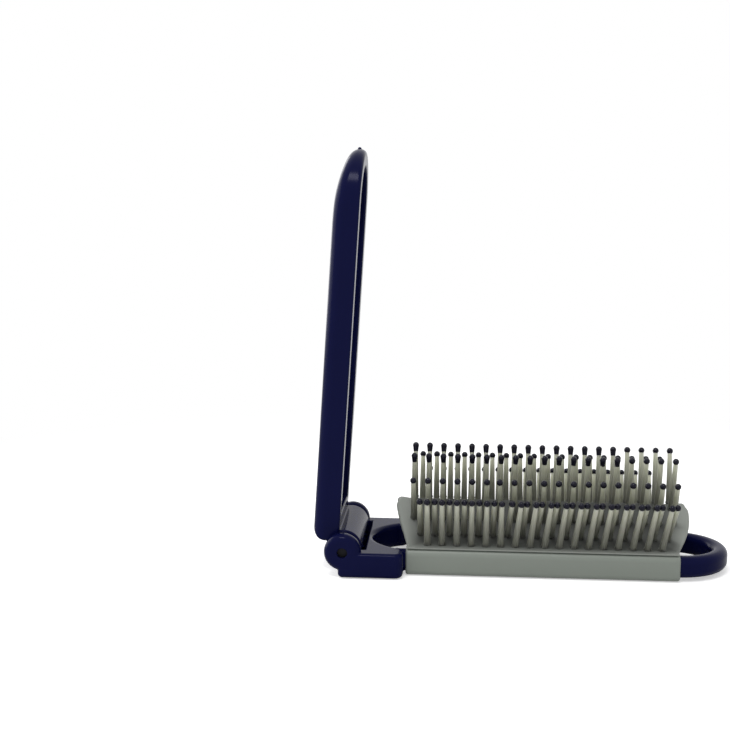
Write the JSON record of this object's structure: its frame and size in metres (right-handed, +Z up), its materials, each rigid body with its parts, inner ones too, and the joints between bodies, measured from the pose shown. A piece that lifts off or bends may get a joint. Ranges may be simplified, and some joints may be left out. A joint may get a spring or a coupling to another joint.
{
  "type": "folding hairbrush with mirror",
  "caption": "Folding pocket hairbrush: a flat ring base with an arched pad of beaded pins between two clamp bars, and a hinged lid that frames a mirror.",
  "frame": {"origin": "on the face that the brush rests on, under the middle of the hinge axis", "axes": "+X from the hinge along the brush towards its loop, +Y along the hinge axis away from the viewer, +Z up out of the rest face; the lid stands up along it and leans 3 degrees towards the brush"},
  "size_m": [0.1096, 0.0386, 0.11],
  "materials": {
    "navy_plastic": "gloss",
    "bar_plastic": "satin",
    "pad_rubber": "satin",
    "pin_nylon": "satin",
    "bead_nylon": "gloss",
    "pin_steel": "satin",
    "mirror_face": "polished",
    "tape": "matte"
  },
  "bodies": {
    "base": {"base_frame": "navy_plastic", "front_clamp_bar": "bar_plastic", "rear_clamp_bar": "bar_plastic", "brush_pad": "pad_rubber", "hinge_pin": "pin_steel", "pin_row_1": "pin_nylon", "pin_row_2": "pin_nylon", "pin_row_3": "pin_nylon", "pin_row_4": "pin_nylon", "pin_row_5": "pin_nylon", "pin_row_6": "pin_nylon", "pin_row_7": "pin_nylon", "bead_row_1": "bead_nylon", "bead_row_2": "bead_nylon", "bead_row_3": "bead_nylon", "bead_row_4": "bead_nylon", "bead_row_5": "bead_nylon", "bead_row_6": "bead_nylon", "bead_row_7": "bead_nylon"},
    "lid": {"lid_frame": "navy_plastic", "mirror_glass": "mirror_face", "mirror_tape": "tape"}
  },
  "joints": [
    {"name": "lid_hinge", "type": "hinge", "parent": "base", "child": "lid", "pos_m": [0, 0, 0.0065], "axis": [0, 1, 0], "range_deg": [-93, 33]}
  ]
}
